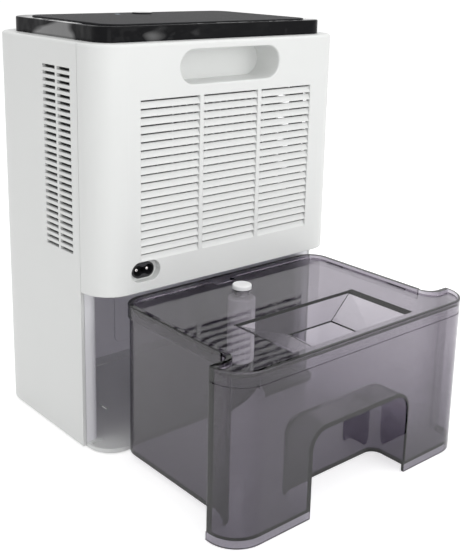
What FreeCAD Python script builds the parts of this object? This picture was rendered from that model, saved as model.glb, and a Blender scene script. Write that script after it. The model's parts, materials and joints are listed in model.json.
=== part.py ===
import FreeCAD
import Part
import math
import os

# Compact thermoelectric dehumidifier, millimetres, +Z up. The origin is on the plane of the four feet,
# in the middle of the casing. +Y is the rear with the intake louvres, the mains inlet and the tank; the
# tank is drawn out along +Y, as it is when it is taken away to be emptied.

# Overall sizes
CASE_W = 216.0
CASE_D = 146.0
CASE_H = 279.0
FOOT_H = 2.5
BAY_H = 114.0
R_REAR = 22.0
R_FRONT = 30.0
WALL = 2.4
FIT = 0.3

# Front and rear shells
SEAM_LAND = 2.4
SEAM_GAP = 0.5
EDGE_ROUND = 2.0
SHOULDER = 15.0
SLOT_ROWS = 28
SLOT_PITCH = 4.5
SLOT_H = 2.2
SLOT_L = 16.0
SLOT_GAP = 2.4
SLOT_COLUMNS = 2
SLOT_TOP_DROP = 17.0
SLOT_REAR = 40.0
LOUVRE_ROWS = 20
LOUVRE_PITCH = 5.4
LOUVRE_SLIT = 1.3
LOUVRE_DEPTH = 3.4
LOUVRE_T = 1.3
LOUVRE_COLUMNS = 3
LOUVRE_COLUMN_W = 48.4
LOUVRE_DIVIDER = 3.4
LOUVRE_TOP_DROP = 36.0
HANDLE_W = 88.0
HANDLE_H = 22.8
HANDLE_DEPTH = 24.0
HANDLE_ROUND = 1.2
HANDLE_DROP = 17.0

# Mains inlet, two round pins
INLET_X = 72.0
INLET_UP = 14.0
INLET_POCKET_W = 23.5
INLET_POCKET_H = 14.0
INLET_POCKET_DEPTH = 5.0
INLET_W = 17.0
INLET_H = 10.4
INLET_BODY_L = 19.0
INLET_CAVITY_R = 3.7
INLET_CAVITY_DEPTH = 13.0
PIN_PITCH = 8.6
PIN_R = 1.2
PIN_L = 11.0
TAG_L = 6.0

# Lid on the casing
LID_INSET = 9.9
LID_H = 10.2
LID_WALL = 2.2
LID_ROUND = 1.0
PANEL_HALF_W = 89.0
PANEL_Y0 = -50.0
PANEL_Y1 = 57.0
PANEL_R = 12.0
PANEL_RISE = 0.8
PANEL_T = 2.2
PANEL_FLANGE = 3.4

# Power button, its switch, and the lamps
BUTTON_Y = -34.0
BUTTON_R = 8.0
BUTTON_RISE = 1.0
BUTTON_TRAVEL = 0.8
BUTTON_CLEAR = 0.3
STEM_R = 2.0
SWITCH_SIZE = 6.0
SWITCH_H = 3.6
PLUNGER_R = 1.6
PLUNGER_CLEAR = 0.08
LAMP_X = 22.0
LAMP_R = 2.0
CONTROL_W = 64.0
CONTROL_D = 26.0
PCB_T = 1.6

# Base and feet
BASE_T = 3.6
BASE_DROP = 1.5
BASE_FLOOR_T = 1.8
BASE_CLEAR = 2.8
LIP_T = 2.4
LIP_H = 1.0
BASE_EDGE = 1.0
BASE_HOLLOW_Y0 = -56.0
DRAIN_SLOT_X = 64.0
DRAIN_SLOT_W = 2.4
DRAIN_SLOT_Y = 4.0
DRAIN_SLOT_L = 9.0
BASE_CELLS = 4
BASE_CELL_W = 36.0
BASE_CELL_L = 56.0
BASE_RIB = 4.0
FOOT_R = 8.0
FOOT_X = 82.0
FOOT_Y = 47.0
FOOT_PLUG_R = 3.0
FOOT_PLUG_L = 1.6
FOOT_ROUND = 0.5
BOSS_R = 3.6
BOSS_H = 22.0
BOSS_GRIP = 10.0
BOSS_X = 100.6
BOSS_Y = 22.0
SCREW_R = 1.3
SCREW_HEAD_R = 3.0
SCREW_HEAD_H = 2.0
SCREW_SINK = 0.6

# Tank bay liner
LINER_T = 2.0
LINER_HALF_W = 96.0
LINER_FRONT_R = 24.0
LINER_CEILING_GAP = 0.7
JAMB_T = 9.0
JAMB_R = 7.0
RAIL_T = 1.2
RAIL_L = 90.0
PAD_X0 = -72.0
PAD_X1 = 5.0
PAD_UP = 9.4
PAD_H = 92.0
PAD_R = 6.0
PAD_T = 0.8
RAIL_H = 3.0

# Tank
TANK_HALF_W = 90.0
TANK_WALL = 2.4
TANK_EAR_WALL = 4.0
TANK_R_IN = 15.0
TANK_EAR_R = 9.0
TANK_EAR_EDGE = 1.0
PLAN_LAND = 0.1
TANK_BACK_GAP = 2.5
TANK_TOP_GAP = 4.0
TANK_FLOOR_GAP = 0.8
TANK_OUT = 135.0
RIM_H = 9.0
RIM_LINE = 0.6
RIM_ROUND = 0.7
RIM_T = 1.2
SKIRT_T = 2.2
SKIRT_CLEAR = 0.9
ARCH_W = 89.0
ARCH_H = 57.0
ARCH_R = 12.0
ARCH_DEPTH = 28.0
ARCH_BACK_R = 8.0

# Tank lid
TLID_DROP = 3.9
TLID_T = 2.0
TLID_CLEAR = 0.35
LEDGE_W = 1.5
LEDGE_L = 16.0
LEDGE_PITCH = 60.0
LEDGE_T = 1.6
FUNNEL_HALF_W = 55.0
FUNNEL_Y0 = 8.5
FUNNEL_Y1 = 63.0
FUNNEL_DEPTH = 11.0
FUNNEL_WALL = 1.8
DRAIN_HALF_W = 18.5
DRAIN_Y0 = 24.0
DRAIN_Y1 = 46.0

# Float
FLOAT_X = 6.0
FLOAT_Y = -39.5
FLOAT_R = 9.8
FLOAT_NECK_R = 3.5
FLOAT_CAP_R = 6.8
FLOAT_CAP_H = 3.2
FLOAT_CAP_UP = 0.3
FLOAT_RISE = 1.8
FLOAT_L = 48.0
FLOAT_WALL = 1.2
FLOAT_CLEAR = 0.4
GUIDE_T = 1.6
GUIDE_H = 3.0
MAGNET_R = 3.0
MAGNET_T = 2.0

# Cooling core
CORE_Z = 200.0
BAFFLE_Y = 40.0
BAFFLE_T = 3.8
BAFFLE_HALF_W = 98.0
BAFFLE_TOP_GAP = 9.0
PASSAGE_W = 22.0
PASSAGE_H = 96.0
PASSAGE_X = 76.0
PELTIER = 40.0
GASKET = 72.0
HOT_W = 100.0
HOT_H = 100.0
SINK_BASE_T = 4.0
HOT_FIN_L = 24.0
HOT_FIN_T = 1.2
HOT_FINS = 20
COLD_W = 84.0
COLD_H = 80.0
COLD_FIN_L = 13.0
COLD_FIN_T = 1.4
COLD_FINS = 15
CLAMP_X = 28.0

# Fan
FAN = 92.0
FAN_T = 25.0
FAN_GAP = 1.0
FAN_BORE_R = 44.0
FAN_HOLE = 41.25
FAN_HUB_R = 20.0
FAN_TIP_GAP = 1.2
FAN_BLADES = 7
BLADE_T = 1.4
STATOR_R = 17.0
SHAFT_R = 1.5
SHAFT_CLEAR = 0.05
FAN_SCREW_R = 1.9

# Condensate tray
TRAY_HALF_W = 46.0
TRAY_T = 1.8
TRAY_H = 12.0
TRAY_UP = 4.0
SPOUT_R = 5.0
SPOUT_BORE_R = 3.2
SPOUT_Y = 54.0

# Power board
BOARD_Y = -56.0
BOARD_W = 96.0
BOARD_H = 62.0
BOARD_UP = 22.0
BOARD_HOLE_IN = 5.0

# Derived places
HALF_W = CASE_W / 2
Y_REAR = CASE_D / 2
Y_FRONT = -CASE_D / 2
Z_BASE = FOOT_H
Z_TOP = Z_BASE + CASE_H
Z_BAY = Z_BASE + BAY_H
Y_SEAM = Y_REAR - R_REAR - SEAM_LAND
Z_UNDER = Z_BASE - BASE_DROP
Z_FLOOR = Z_UNDER + BASE_T
Z_CEILING = Z_BAY + LINER_CEILING_GAP
Z_DECK = Z_CEILING + LINER_T
Y_LINER = Y_FRONT + WALL + FIT
Y_TANK = Y_LINER + LINER_T + TANK_BACK_GAP
Y_EAR = Y_SEAM + SEAM_GAP
Z_TANK = Z_FLOOR + TANK_FLOOR_GAP
Z_RIM = Z_BAY - TANK_TOP_GAP
Z_TLID = Z_RIM - TLID_DROP
Z_CONTROL = Z_TOP - 3.0
FAR = 500.0
OUT = FreeCAD.Vector(0, TANK_OUT, 0)


def vec(x, y, z=0.0):
    return FreeCAD.Vector(x, y, z)


def rounded_outline(corners):
    """Closed flat wire through (x, y, radius) corners, each corner turned into an arc of its radius."""
    arcs = []
    for i, (x, y, radius) in enumerate(corners):
        here = vec(x, y)
        before = vec(*corners[i - 1][:2]) - here
        after = vec(*corners[(i + 1) % len(corners)][:2]) - here
        before.normalize()
        after.normalize()
        if radius <= 0:
            arcs.append((here, None, here))
            continue
        half = before.getAngle(after) / 2
        reach = radius / math.tan(half)
        inward = before + after
        inward.normalize()
        middle = here + inward * (radius / math.sin(half) - radius)
        arcs.append((here + before * reach, middle, here + after * reach))
    edges = []
    for i, (start, middle, end) in enumerate(arcs):
        last = arcs[i - 1][2]
        if (start - last).Length > 1e-6:
            edges.append(Part.LineSegment(last, start).toShape())
        if middle is not None:
            edges.append(Part.Arc(start, middle, end).toShape())
    return Part.Wire(edges)


def prism(wire, z0, z1):
    """Solid over a flat outline from z0 to z1."""
    face = Part.Face(wire)
    face.translate(vec(0, 0, z0))
    return face.extrude(vec(0, 0, z1 - z0))


def prism_y(wire, y0, y1):
    """Solid over an outline whose x and y become X and Z, from y0 to y1."""
    solid = prism(wire, -y1, -y0)
    solid.rotate(vec(0, 0), vec(1, 0), 90)
    return solid


def box(x0, x1, y0, y1, z0, z1):
    return Part.makeBox(x1 - x0, y1 - y0, z1 - z0, vec(x0, y0, z0))


def rod_z(x, y, z0, z1, radius):
    return Part.makeCylinder(radius, z1 - z0, vec(x, y, z0))


def rod_y(x, z, y0, y1, radius):
    return Part.makeCylinder(radius, y1 - y0, vec(x, y0, z), vec(0, 1))


def rectangle(half_w, y0, y1, radius):
    """Corner list of a rectangle centred on x = 0 with one radius."""
    return [(half_w, y0, radius), (half_w, y1, radius), (-half_w, y1, radius), (-half_w, y0, radius)]


def mirrored(right):
    """Closed outline from the corners of its right half, listed from the front to the rear."""
    return rounded_outline(right + [(-x, y, r) for x, y, r in reversed(right)])


def stadium(x, z, width, height):
    """Outline with round ends, flat on its long sides."""
    radius = height / 2
    half = width / 2
    sides = [(half, -radius), (half, radius), (-half, radius), (-half, -radius)]
    return rounded_outline([(x + a, z + b, radius) for a, b in sides])


def case_plan(inset):
    """Outline of the casing, drawn in by inset."""
    w = HALF_W - inset
    front = R_FRONT - inset
    rear = R_REAR - inset
    y0 = Y_FRONT + inset
    y1 = Y_REAR - inset
    return rounded_outline([(w, y0, front), (w, y1, rear), (-w, y1, rear), (-w, y0, front)])


def round_edges(solid, radius, wanted):
    """Fillet the edges whose centre passes the test."""
    edges = [e for e in solid.Edges if wanted(e)]
    return solid.makeFillet(radius, edges)


def in_plane(edge, z):
    """True when an edge lies in the horizontal plane at z."""
    return edge.BoundBox.ZLength < 1e-6 and abs(edge.BoundBox.ZMin - z) < 1e-6


def in_plane_y(edge, y):
    """True when an edge lies in the upright plane at y."""
    return edge.BoundBox.YLength < 1e-6 and abs(edge.BoundBox.YMin - y) < 1e-6


def sides(shape):
    """The shape and its mirror image across x = 0."""
    return [shape, shape.mirror(vec(0, 0), vec(1, 0))]


def corners_of(half_x, half_y):
    return [(a * half_x, b * half_y) for a in (-1, 1) for b in (-1, 1)]


def casing():
    """The whole hollow casing with its shoulder, before it is parted at the seams."""
    solid = round_edges(prism(case_plan(0), Z_BASE, Z_TOP), EDGE_ROUND, lambda e: in_plane(e, Z_TOP))
    hollow = prism(case_plan(WALL), Z_BASE, Z_TOP - WALL)
    mouth = prism(case_plan(SHOULDER), Z_BASE, Z_TOP)
    return solid.cut(hollow).cut(mouth)


def side_slots():
    """Exhaust slots through both side walls."""
    cuts = []
    for column in range(SLOT_COLUMNS):
        y1 = SLOT_REAR - column * (SLOT_L + SLOT_GAP)
        for row in range(SLOT_ROWS):
            z1 = Z_TOP - SLOT_TOP_DROP - row * SLOT_PITCH
            slot = box(HALF_W - 2 * WALL, HALF_W + 1, y1 - SLOT_L, y1, z1 - SLOT_H, z1)
            cuts.extend(sides(slot))
    return Part.makeCompound(cuts)


def boss_places():
    return corners_of(BOSS_X, BOSS_Y)


def board_holes():
    """Screw places of the power board, as x and z."""
    z_mid = Z_DECK + BOARD_UP + BOARD_H / 2
    return [(x, z_mid + z) for x, z in corners_of(BOARD_W / 2 - BOARD_HOLE_IN, BOARD_H / 2 - BOARD_HOLE_IN)]


def front_shell():
    """Front and both sides in one moulding, with the bosses for the base and the power board."""
    solid = casing().common(box(-FAR, FAR, -FAR, Y_SEAM, 0, FAR))
    for x, y in boss_places():
        reach = math.copysign(HALF_W - WALL / 2, x)
        rib = box(min(x, reach), max(x, reach), y - WALL / 2, y + WALL / 2, Z_FLOOR, Z_FLOOR + BOSS_H)
        solid = solid.fuse(rod_z(x, y, Z_FLOOR, Z_FLOOR + BOSS_H, BOSS_R)).fuse(rib)
        solid = solid.cut(rod_z(x, y, Z_FLOOR, Z_FLOOR + BOSS_H - 4, SCREW_R))
    for x, z in board_holes():
        post = rod_y(x, z, Y_FRONT + WALL / 2, BOARD_Y, BOSS_R)
        solid = solid.fuse(post).cut(rod_y(x, z, BOARD_Y - 8, BOARD_Y, SCREW_R))
    return solid.cut(side_slots()).removeSplitter()


def louvre_field():
    """Opening of the intake, and the blades and dividers that fill it."""
    half = (LOUVRE_COLUMNS * LOUVRE_COLUMN_W + (LOUVRE_COLUMNS - 1) * LOUVRE_DIVIDER) / 2
    z1 = Z_TOP - LOUVRE_TOP_DROP
    z0 = z1 - LOUVRE_ROWS * LOUVRE_PITCH
    opening = box(-half, half, Y_REAR - 2 * WALL, Y_REAR + 1, z0, z1)
    inner = Y_REAR - LOUVRE_DEPTH
    parts = []
    for row in range(LOUVRE_ROWS):
        low = z0 + row * LOUVRE_PITCH
        high = low + LOUVRE_PITCH - LOUVRE_SLIT
        section = [(Y_REAR, low), (inner + LOUVRE_T, high), (inner, high), (inner, high - LOUVRE_T)]
        section.append((Y_REAR - LOUVRE_T, low))
        points = [vec(-half, y, z) for y, z in section]
        face = Part.Face(Part.makePolygon(points + points[:1]))
        parts.append(face.extrude(vec(2 * half, 0)))
    for column in range(1, LOUVRE_COLUMNS):
        x = -half + column * LOUVRE_COLUMN_W + (column - 1) * LOUVRE_DIVIDER
        parts.append(box(x, x + LOUVRE_DIVIDER, inner, Y_REAR, z0, z1))
    for x in (-half - WALL, half):
        parts.append(box(x, x + WALL, inner, Y_REAR - WALL / 2, z0 - WALL, z1 + WALL))
    return opening, parts


def rear_shell():
    """Rear wall with its rounded corners, the carrying recess, the intake louvres and the inlet pocket."""
    solid = casing().common(box(-FAR, FAR, Y_SEAM + FIT, FAR, Z_BAY, FAR))
    opening, parts = louvre_field()
    solid = solid.cut(opening).multiFuse(parts)
    z_handle = Z_TOP - HANDLE_DROP
    pocket = stadium(0, z_handle, HANDLE_W + 2 * WALL, HANDLE_H + 2 * WALL)
    solid = solid.fuse(prism_y(pocket, Y_REAR - HANDLE_DEPTH - WALL, Y_REAR - WALL / 2))
    solid = solid.cut(prism_y(stadium(0, z_handle, HANDLE_W, HANDLE_H), Y_REAR - HANDLE_DEPTH, Y_REAR + 1))
    reach = HANDLE_H / 2 + 1

    def at_mouth(edge):
        middle = edge.BoundBox.Center
        return in_plane_y(edge, Y_REAR) and abs(middle.z - z_handle) < reach and abs(middle.x) < HANDLE_W

    solid = round_edges(solid, HANDLE_ROUND, at_mouth)
    z_inlet = Z_BAY + INLET_UP
    pocket = stadium(INLET_X, z_inlet, INLET_POCKET_W + 2 * WALL, INLET_POCKET_H + 2 * WALL)
    solid = solid.fuse(prism_y(pocket, Y_REAR - INLET_POCKET_DEPTH - WALL, Y_REAR - WALL / 2))
    pocket = stadium(INLET_X, z_inlet, INLET_POCKET_W, INLET_POCKET_H)
    solid = solid.cut(prism_y(pocket, Y_REAR - INLET_POCKET_DEPTH, Y_REAR + 1))
    seat = stadium(INLET_X, z_inlet, INLET_W, INLET_H)
    return solid.cut(prism_y(seat, Y_REAR - 20, Y_REAR)).removeSplitter()


def base_plate():
    """Floor of the casing: full width inside the front shell, drawn in at the rear for the tank's skirt."""
    inset = WALL + FIT
    w = HALF_W - inset
    rear_w = HALF_W - BASE_CLEAR
    front = (w, Y_FRONT + inset, R_FRONT - inset)
    rear = (rear_w, Y_REAR - BASE_CLEAR, R_REAR - BASE_CLEAR)
    outline = mirrored([front, (w, Y_SEAM + FIT, 0), (rear_w, Y_SEAM + FIT, 0), rear])
    solid = round_edges(prism(outline, Z_UNDER, Z_FLOOR), BASE_EDGE, lambda e: in_plane(e, Z_UNDER))
    hollow_w = LINER_HALF_W - LINER_T - FIT
    lip_w = rear_w - LIP_T
    lip = (lip_w, Y_REAR - BASE_CLEAR - LIP_T, R_REAR - BASE_CLEAR - LIP_T)
    y_step = Y_SEAM + LIP_T
    hollow = mirrored([(hollow_w, BASE_HOLLOW_Y0, 0), (hollow_w, y_step, 0), (lip_w, y_step, 0), lip])
    solid = solid.cut(prism(hollow, Z_FLOOR - LIP_H, Z_FLOOR))
    slot_x1 = DRAIN_SLOT_X + DRAIN_SLOT_W
    slot = box(DRAIN_SLOT_X, slot_x1, DRAIN_SLOT_Y, DRAIN_SLOT_Y + DRAIN_SLOT_L, Z_UNDER, Z_FLOOR)
    solid = solid.cut(Part.makeCompound(sides(slot)))
    low = Z_FLOOR - LIP_H - BASE_FLOOR_T
    cells = []
    for column in range(BASE_CELLS):
        x0 = (column - BASE_CELLS / 2) * BASE_CELL_W + BASE_RIB / 2
        for y0 in (-BASE_CELL_L, 0):
            x1 = x0 + BASE_CELL_W - BASE_RIB
            cells.append(box(x0, x1, y0 + BASE_RIB / 2, y0 + BASE_CELL_L - BASE_RIB / 2, 0, low))
    solid = solid.cut(Part.makeCompound(cells))
    for x, y in boss_places():
        solid = solid.cut(rod_z(x, y, Z_UNDER, Z_FLOOR, SCREW_R))
        solid = solid.cut(rod_z(x, y, Z_UNDER, Z_UNDER + SCREW_HEAD_H + SCREW_SINK, SCREW_HEAD_R + FIT))
    for x, y in corners_of(FOOT_X, FOOT_Y):
        solid = solid.cut(rod_z(x, y, Z_UNDER, Z_UNDER + FOOT_PLUG_L, FOOT_PLUG_R))
    return solid.removeSplitter()


def feet():
    """Four soft feet, each with a plug in the base."""
    group = []
    for x, y in corners_of(FOOT_X, FOOT_Y):
        pad = round_edges(rod_z(x, y, 0, Z_UNDER, FOOT_R), FOOT_ROUND, lambda e: in_plane(e, 0))
        group.append(pad.fuse(rod_z(x, y, Z_UNDER, Z_UNDER + FOOT_PLUG_L, FOOT_PLUG_R)).removeSplitter())
    return group


def screw(at, along, length, radius=SCREW_R, head_r=SCREW_HEAD_R, head_h=SCREW_HEAD_H):
    """Pan-head screw: its head starts at the point, its shank runs on along the direction."""
    axis = FreeCAD.Vector(along)
    axis.normalize()
    head = Part.makeCylinder(head_r, head_h, at, axis)
    drive = Part.makeCylinder(head_r * 0.45, head_h * 0.5, at, axis, 360)
    shank = Part.makeCylinder(radius, length, at + axis * head_h, axis)
    return head.cut(drive).fuse(shank)


def base_screws():
    z0 = Z_UNDER + SCREW_SINK
    return [screw(vec(x, y, z0), vec(0, 0, 1), BASE_T + BOSS_GRIP) for x, y in boss_places()]


def bay_liner():
    """Walls, ceiling and mouth posts of the tank bay; the posts are hollow and round towards the tank."""
    t = LINER_T
    w = LINER_HALF_W
    x1 = HALF_W - WALL - FIT
    y_post = Y_SEAM - JAMB_T
    y_rear = Y_REAR - WALL - FIT
    front = [(w, Y_LINER, LINER_FRONT_R), (w, y_post, 0), (x1, y_post, 0)]
    walls = prism(mirrored(front + [(x1, Y_SEAM, 0)]), Z_FLOOR, Z_CEILING)
    bay = [(w - t, Y_LINER + t, LINER_FRONT_R - t), (w - t, Y_SEAM, JAMB_R), (FAR, Y_SEAM, 0), (FAR, FAR, 0)]
    walls = walls.cut(prism(mirrored(bay), 0, FAR))
    y1 = Y_SEAM - t
    room = [(w, y_post - 1, 0), (x1 - t, y_post - 1, 0), (x1 - t, y1, 0), (w, y1, JAMB_R - t)]
    walls = walls.cut(Part.makeCompound(sides(prism(rounded_outline(room), Z_FLOOR, Z_CEILING))))
    ceiling = prism(mirrored(front + [(x1, y_rear, R_REAR - WALL - FIT)]), Z_CEILING, Z_DECK)
    rail = box(w - t - RAIL_T, w - t / 2, y_post - RAIL_L, y_post, Z_RIM - RAIL_H, Z_RIM)
    z0 = Z_FLOOR + PAD_UP
    z1 = z0 + PAD_H
    corners = [(PAD_X1, z0), (PAD_X1, z1), (PAD_X0, z1), (PAD_X0, z0)]
    pad = rounded_outline([(x, z, PAD_R) for x, z in corners])
    pad = prism_y(pad, Y_LINER + t / 2, Y_LINER + t + PAD_T)
    solid = walls.fuse(ceiling).fuse(pad).multiFuse(sides(rail))
    return solid.cut(rod_z(0, SPOUT_Y, Z_CEILING, Z_DECK, SPOUT_R + FIT)).removeSplitter()


def tank_plan(inset, ear_inset):
    """Outline of the closed tank: a narrow box with rounded inner corners that widens at the rear panel."""
    w = TANK_HALF_W - inset
    wide = HALF_W - inset
    y_in = Y_TANK + inset
    y_ear = Y_EAR + ear_inset
    y_out = Y_REAR - inset
    r_in = TANK_R_IN - inset
    edge = max(TANK_EAR_EDGE - inset, 0)
    r_out = min(R_REAR - inset, y_out - y_ear - edge - PLAN_LAND)
    r_ear = TANK_EAR_R + inset
    right = [(w, y_in, r_in), (w, y_ear, r_ear), (wide, y_ear, edge), (wide, y_out, r_out)]
    left = [(-x, y, r) for x, y, r in reversed(right)]
    return rounded_outline(right + left)


def arch(grow, z0, y0, y1):
    """Block over the outline of the finger arch, larger by grow, with round inner edges."""
    w = ARCH_W / 2 + grow
    z1 = Z_BASE - SKIRT_CLEAR + ARCH_H + grow
    r = ARCH_R + grow
    block = prism_y(rounded_outline([(w, z0, 0), (w, z1, r), (-w, z1, r), (-w, z0, 0)]), y0, y1)
    return round_edges(block, ARCH_BACK_R + grow, lambda e: in_plane_y(e, y0) and e.BoundBox.ZMax > z0 + 1)


def rear_strip(out, inner, z0, z1):
    """Strip round the sides and back of the tank's wide part, between two insets from the casing."""
    blocks = []
    for inset, y0 in ((out, Y_EAR), (inner, Y_EAR - 1)):
        w = HALF_W - inset
        y1 = Y_REAR - inset
        r = R_REAR - inset
        blocks.append(prism(rounded_outline([(w, y0, 0), (w, y1, r), (-w, y1, r), (-w, y0, 0)]), z0, z1))
    return blocks[0].cut(blocks[1])


def water_tank():
    """Tank with a rim band, a finger arch in its rear panel and a thin skirt that hides the base."""
    outer = prism(tank_plan(0, 0), Z_TANK, Z_RIM)
    band_y1 = Y_EAR - TANK_EAR_R - 0.5
    band_r = TANK_R_IN + RIM_T
    w = TANK_HALF_W + RIM_T
    y0 = Y_TANK - RIM_T
    band = rounded_outline([(w, y0, band_r), (w, band_y1, 0), (-w, band_y1, 0), (-w, y0, band_r)])
    outer = outer.fuse(prism(band, Z_RIM - RIM_H, Z_RIM))
    outer = round_edges(outer.removeSplitter(), RIM_ROUND, lambda e: in_plane(e, Z_RIM))
    cavity = prism(tank_plan(TANK_WALL, TANK_EAR_WALL), Z_TANK + TANK_WALL, Z_RIM)
    y_arch = Y_REAR - ARCH_DEPTH
    tunnel = arch(TANK_WALL, Z_TANK, y_arch - TANK_WALL, Y_REAR - TANK_WALL / 2)
    solid = outer.cut(cavity.cut(tunnel))
    z_skirt = Z_BASE - 2 * SKIRT_CLEAR
    solid = solid.fuse(rear_strip(0, SKIRT_T, z_skirt, Z_TANK + 1))
    z_line = Z_RIM - RIM_H
    solid = solid.cut(rear_strip(-1, RIM_LINE, z_line - RIM_LINE, z_line))
    solid = solid.cut(arch(0, 0, y_arch, Y_REAR + 1))
    wall_x = TANK_HALF_W - TANK_WALL
    y_middle = (Y_TANK + Y_EAR) / 2
    for y in (y_middle - LEDGE_PITCH / 2, y_middle + LEDGE_PITCH / 2):
        x0 = wall_x - LEDGE_W
        ledge = box(x0, wall_x + TANK_WALL / 2, y - LEDGE_L / 2, y + LEDGE_L / 2, Z_TLID - LEDGE_T, Z_TLID)
        solid = solid.multiFuse(sides(ledge))
    return solid.removeSplitter().translated(OUT)


def pyramid(half_w, y0, y1, z1, low_half_w, low_y0, low_y1, z0):
    """Four-sided funnel block between a large upper rectangle and a small lower one."""
    high = Part.makePolygon([vec(x, y, z1) for x, y in
                             ((half_w, y0), (half_w, y1), (-half_w, y1), (-half_w, y0), (half_w, y0))])
    low = Part.makePolygon([vec(x, y, z0) for x, y in
                            ((low_half_w, low_y0), (low_half_w, low_y1), (-low_half_w, low_y1),
                             (-low_half_w, low_y0), (low_half_w, low_y0))])
    return Part.makeLoft([high, low], True, True)


def tank_lid():
    """Flat lid inside the rim, with the catching funnel and the guide of the float."""
    inset = TANK_WALL + TLID_CLEAR
    plate = prism(tank_plan(inset, TANK_EAR_WALL + TLID_CLEAR), Z_TLID, Z_TLID + TLID_T)
    t = FUNNEL_WALL
    top = Z_TLID + TLID_T
    bottom = top - FUNNEL_DEPTH
    outer = pyramid(FUNNEL_HALF_W + t, FUNNEL_Y0 - t, FUNNEL_Y1 + t, top,
                    DRAIN_HALF_W + t, DRAIN_Y0 - t, DRAIN_Y1 + t, bottom)
    inner = pyramid(FUNNEL_HALF_W, FUNNEL_Y0, FUNNEL_Y1, top, DRAIN_HALF_W, DRAIN_Y0, DRAIN_Y1, bottom)
    solid = plate.fuse(outer).cut(inner)
    bore = FLOAT_NECK_R + FLOAT_CLEAR
    guide = rod_z(FLOAT_X, FLOAT_Y, Z_TLID - GUIDE_H, Z_TLID, bore + GUIDE_T)
    solid = solid.fuse(guide).cut(rod_z(FLOAT_X, FLOAT_Y, 0, Z_RIM, bore))
    notch = box(FLOAT_X - 9, FLOAT_X + 9, Y_TANK, Y_TANK + 9, Z_TLID - 1, Z_RIM)
    return solid.cut(notch).removeSplitter().translated(OUT)


def float_top():
    """Height of the cap's face when the tank is empty."""
    return Z_TLID + TLID_T + FLOAT_CAP_UP + FLOAT_CAP_H


def float_body():
    """Closed hollow float under the lid."""
    top = Z_TLID - GUIDE_H - FLOAT_RISE - FLOAT_CLEAR
    body = rod_z(FLOAT_X, FLOAT_Y, top - FLOAT_L, top, FLOAT_R)
    ends = round_edges(body, 1.5, lambda e: in_plane(e, top) or in_plane(e, top - FLOAT_L))
    air = rod_z(FLOAT_X, FLOAT_Y, top - FLOAT_L + FLOAT_WALL, top - 2 * FLOAT_WALL, FLOAT_R - FLOAT_WALL)
    neck = rod_z(FLOAT_X, FLOAT_Y, top, float_top() - FLOAT_CAP_H, FLOAT_NECK_R)
    return ends.fuse(neck).cut(air).removeSplitter().translated(OUT)


def float_cap():
    """Round cap pressed on the float's neck, with the magnet's seat inside."""
    top = float_top()
    low = top - FLOAT_CAP_H
    cap = round_edges(rod_z(FLOAT_X, FLOAT_Y, low, top, FLOAT_CAP_R), 1.0, lambda e: in_plane(e, top))
    return cap.cut(rod_z(FLOAT_X, FLOAT_Y, low, low + MAGNET_T, MAGNET_R)).translated(OUT)


def float_magnet():
    low = float_top() - FLOAT_CAP_H
    return rod_z(FLOAT_X, FLOAT_Y, low, low + MAGNET_T, MAGNET_R).translated(OUT)


def reed_switch():
    """Sealed contact on the deck above the closed tank's float."""
    holder = box(FLOAT_X - 10, FLOAT_X + 10, FLOAT_Y - 4, FLOAT_Y + 4, Z_DECK, Z_DECK + 5)
    capsule = Part.makeCylinder(1.4, 14, vec(FLOAT_X - 7, FLOAT_Y, Z_DECK + 5), vec(1, 0))
    return holder.cut(capsule), capsule


def top_lid():
    """Gloss cover that stands on the casing's shoulder, open in the middle for the panel."""
    outer = prism(case_plan(LID_INSET), Z_TOP, Z_TOP + LID_H)
    outer = round_edges(outer, LID_ROUND, lambda e: in_plane(e, Z_TOP + LID_H))
    hollow = prism(case_plan(LID_INSET + LID_WALL), Z_TOP, Z_TOP + LID_H - LID_WALL)
    opening = rounded_outline(rectangle(PANEL_HALF_W, PANEL_Y0, PANEL_Y1, PANEL_R))
    return outer.cut(hollow).cut(prism(opening, Z_TOP, Z_TOP + LID_H + 1)).removeSplitter()


def top_panel():
    """Matte panel in the cover, with the button's hole, the lamp's hole and posts for the control board."""
    z1 = Z_TOP + LID_H + PANEL_RISE
    z0 = Z_TOP + LID_H - LID_WALL
    g = FIT / 3
    outline = rounded_outline(rectangle(PANEL_HALF_W - g, PANEL_Y0 + g, PANEL_Y1 - g, PANEL_R - g))
    solid = round_edges(prism(outline, z0, z1), 0.7, lambda e: in_plane(e, z1))
    f = PANEL_FLANGE
    flange = rounded_outline(rectangle(PANEL_HALF_W + f, PANEL_Y0 - f, PANEL_Y1 + f, PANEL_R + f))
    solid = solid.fuse(prism(flange, z0 - PANEL_T, z0))
    for x, y in control_posts():
        solid = solid.fuse(rod_z(x, y, Z_CONTROL + PCB_T, z0, BOSS_R))
        solid = solid.cut(rod_z(x, y, Z_CONTROL, z0 - 3, SCREW_R))
    solid = solid.cut(rod_z(0, BUTTON_Y, 0, FAR, BUTTON_R + BUTTON_CLEAR))
    return solid.cut(rod_z(LAMP_X, BUTTON_Y, 0, FAR, LAMP_R)).removeSplitter()


def control_posts():
    return [(x, BUTTON_Y) for x in (-CONTROL_W / 2 + 5, CONTROL_W / 2 - 5)]


def power_button():
    """Round key with a stem that reaches down to the switch."""
    top = Z_TOP + LID_H + PANEL_RISE + BUTTON_RISE
    cap = round_edges(rod_z(0, BUTTON_Y, top - 4.5, top, BUTTON_R), 0.8, lambda e: in_plane(e, top))
    stem = rod_z(0, BUTTON_Y, switch_top() + 1.0, top - 4.5, STEM_R)
    return cap.fuse(stem).removeSplitter()


def switch_top():
    return Z_CONTROL + PCB_T + SWITCH_H


def switch_plunger():
    """Plunger that the key's stem stands on; its foot slides in the switch body."""
    z0 = switch_top() - 1.2
    return rod_z(0, BUTTON_Y, z0, switch_top() + 1.0, PLUNGER_R)


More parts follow.
